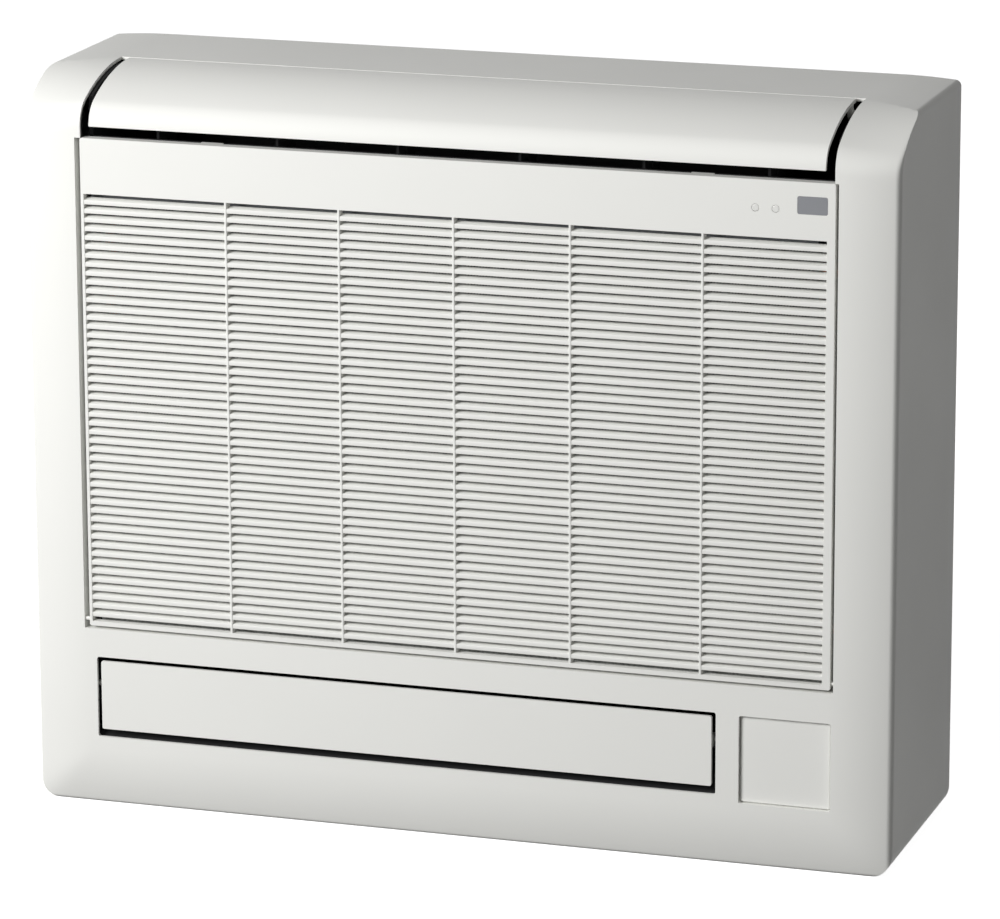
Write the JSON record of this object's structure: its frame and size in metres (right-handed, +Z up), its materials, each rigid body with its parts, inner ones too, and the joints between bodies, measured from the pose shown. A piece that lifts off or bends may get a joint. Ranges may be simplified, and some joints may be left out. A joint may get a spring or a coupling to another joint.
{
  "type": "floor console air conditioner",
  "caption": "Low white floor console air conditioner with a slatted inlet panel that swings open, a curved top outlet flap, a lower outlet flap and twin cross-flow fans.",
  "frame": {"origin": "on the floor under the middle of the casing", "axes": "+X to the right seen from the front, +Y towards the wall behind, +Z up"},
  "size_m": [0.714, 0.2, 0.6],
  "materials": {
    "casing_white": "satin moulded ABS",
    "window_smoke": "polished smoked acrylic",
    "lamp_clear": "polished clear acrylic",
    "chassis_black": "moulded black ABS",
    "pan_zinc": "zinc coated sheet steel",
    "filter_grey": "moulded polypropylene",
    "fin_aluminium": "mill finish",
    "tube_copper": "drawn copper",
    "foam_grey": "moulded polystyrene",
    "fan_grey": "moulded glass-filled plastic",
    "steel_bright": "turned steel",
    "motor_can": "pressed can",
    "bush_rubber": "moulded rubber",
    "board_green": "glass-fibre laminate",
    "terminal_black": "moulded phenolic",
    "nut_brass": "machined",
    "button_grey": "moulded ABS"
  },
  "bodies": {
    "chassis": {"front_casing": "casing_white", "service_cover": "casing_white", "rear_chassis": "chassis_black", "base_pan": "pan_zinc", "evaporator_fins": "fin_aluminium", "evaporator_tubes": "tube_copper", "tube_sheet_left": "pan_zinc", "tube_sheet_right": "pan_zinc", "drain_pan": "foam_grey", "drain_spout": "foam_grey", "filter_left": "filter_grey", "filter_right": "filter_grey", "upper_fan_bush": "bush_rubber", "lower_fan_bush": "bush_rubber", "upper_fan_motor": "motor_can", "lower_fan_motor": "motor_can", "upper_motor_clamp": "pan_zinc", "lower_motor_clamp": "pan_zinc", "clamp_screws": "steel_bright", "upper_scroll": "chassis_black", "upper_stabiliser": "chassis_black", "lower_scroll": "chassis_black", "lower_stabiliser": "chassis_black", "upper_flap_motor": "motor_can", "lower_flap_motor": "motor_can", "control_box": "pan_zinc", "control_cover": "pan_zinc", "control_studs": "steel_bright", "control_board": "board_green", "terminal_block": "terminal_black", "button_holder": "chassis_black", "gas_pipe": "tube_copper", "liquid_pipe": "tube_copper", "flare_nuts": "nut_brass", "pipe_sensor": "tube_copper"},
    "inlet_panel": {"inlet_panel": "casing_white", "display_window": "window_smoke", "lamp_lenses": "lamp_clear", "display_board": "board_green", "panel_catches": "casing_white"},
    "upper_flap": {"upper_flap": "casing_white"},
    "lower_flap": {"lower_flap": "casing_white"},
    "upper_fan": {"upper_fan": "fan_grey", "upper_fan_shafts": "steel_bright"},
    "lower_fan": {"lower_fan": "fan_grey", "lower_fan_shafts": "steel_bright"},
    "vane_link": {"vane_link": "chassis_black"},
    "push_button": {"push_button": "button_grey"},
    "vane_1": {"vane_1": "chassis_black"},
    "vane_2": {"vane_2": "chassis_black"},
    "vane_3": {"vane_3": "chassis_black"},
    "vane_4": {"vane_4": "chassis_black"},
    "vane_5": {"vane_5": "chassis_black"},
    "vane_6": {"vane_6": "chassis_black"}
  },
  "joints": [
    {"name": "inlet_panel_hinge", "type": "hinge", "parent": "chassis", "child": "inlet_panel", "pos_m": [0, -0.0972, 0.156], "axis": [1, 0, 0], "range_deg": [0, 45]},
    {"name": "upper_flap_hinge", "type": "hinge", "parent": "chassis", "child": "upper_flap", "pos_m": [0, -0.02, 0.59], "axis": [-1, 0, 0], "range_deg": [0, 55]},
    {"name": "lower_flap_hinge", "type": "hinge", "parent": "chassis", "child": "lower_flap", "pos_m": [0, -0.088, 0.1], "axis": [-1, 0, 0], "range_deg": [0, 75]},
    {"name": "upper_fan_spin", "type": "hinge", "parent": "chassis", "child": "upper_fan", "pos_m": [0, 0.03, 0.462], "axis": [1, 0, 0], "continuous": true},
    {"name": "lower_fan_spin", "type": "hinge", "parent": "chassis", "child": "lower_fan", "pos_m": [0, 0.03, 0.14], "axis": [1, 0, 0], "continuous": true},
    {"name": "vane_1_turn", "type": "hinge", "parent": "chassis", "child": "vane_1", "pos_m": [-0.25, -0.058, 0.55], "axis": [0, 0, 1], "range_deg": [-30, 30]},
    {"name": "vane_2_turn", "type": "hinge", "parent": "chassis", "child": "vane_2", "pos_m": [-0.15, -0.058, 0.55], "axis": [0, 0, 1], "range_deg": [-30, 30]},
    {"name": "vane_3_turn", "type": "hinge", "parent": "chassis", "child": "vane_3", "pos_m": [-0.05, -0.058, 0.55], "axis": [0, 0, 1], "range_deg": [-30, 30]},
    {"name": "vane_4_turn", "type": "hinge", "parent": "chassis", "child": "vane_4", "pos_m": [0.05, -0.058, 0.55], "axis": [0, 0, 1], "range_deg": [-30, 30]},
    {"name": "vane_5_turn", "type": "hinge", "parent": "chassis", "child": "vane_5", "pos_m": [0.15, -0.058, 0.55], "axis": [0, 0, 1], "range_deg": [-30, 30]},
    {"name": "vane_6_turn", "type": "hinge", "parent": "chassis", "child": "vane_6", "pos_m": [0.25, -0.058, 0.55], "axis": [0, 0, 1], "range_deg": [-30, 30]},
    {"name": "vane_link_turn", "type": "hinge", "parent": "vane_1", "child": "vane_link", "pos_m": [-0.25, -0.042, 0.573], "axis": [0, 0, 1], "range_deg": [-30, 30]},
    {"name": "push_button_press", "type": "slide", "parent": "chassis", "child": "push_button", "axis": [0, 1, 0], "range_m": [0, 0.0015], "stiffness_N_per_m": 300}
  ],
  "couplings": [
    {"joint": "vane_2_turn", "follows": "vane_1_turn", "ratio": 1},
    {"joint": "vane_3_turn", "follows": "vane_1_turn", "ratio": 1},
    {"joint": "vane_4_turn", "follows": "vane_1_turn", "ratio": 1},
    {"joint": "vane_5_turn", "follows": "vane_1_turn", "ratio": 1},
    {"joint": "vane_6_turn", "follows": "vane_1_turn", "ratio": 1},
    {"joint": "vane_link_turn", "follows": "vane_1_turn", "ratio": -1}
  ]
}
